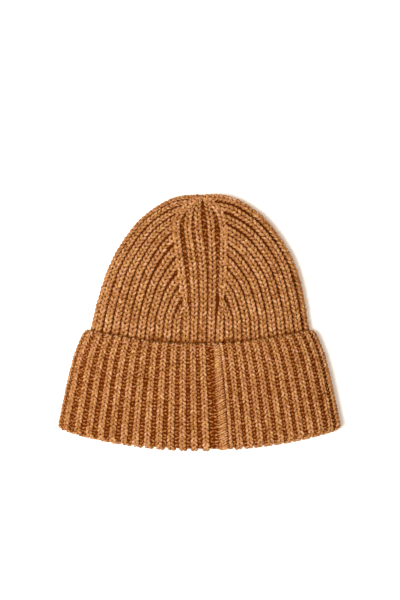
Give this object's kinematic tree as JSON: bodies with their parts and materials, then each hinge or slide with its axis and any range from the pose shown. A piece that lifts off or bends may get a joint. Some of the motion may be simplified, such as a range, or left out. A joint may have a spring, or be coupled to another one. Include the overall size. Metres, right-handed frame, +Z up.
{
  "type": "ribbed wool beanie",
  "caption": "Chunky ribbed knitted beanie with a deep turned-up cuff and decreases shaping the crown, lying flat on its back.",
  "frame": {"origin": "on the surface the hat lies on, in the middle of its outline seen from above", "axes": "+Y runs to the tip of the crown, -Y out of the mouth, +Z up through the upper half of the hat, +X across the mouth"},
  "size_m": [0.2386, 0.2177, 0.0382],
  "materials": {
    "camel_wool": "matte, fuzzy"
  },
  "bodies": {
    "root": {"beanie": "camel_wool"}
  },
  "joints": []
}
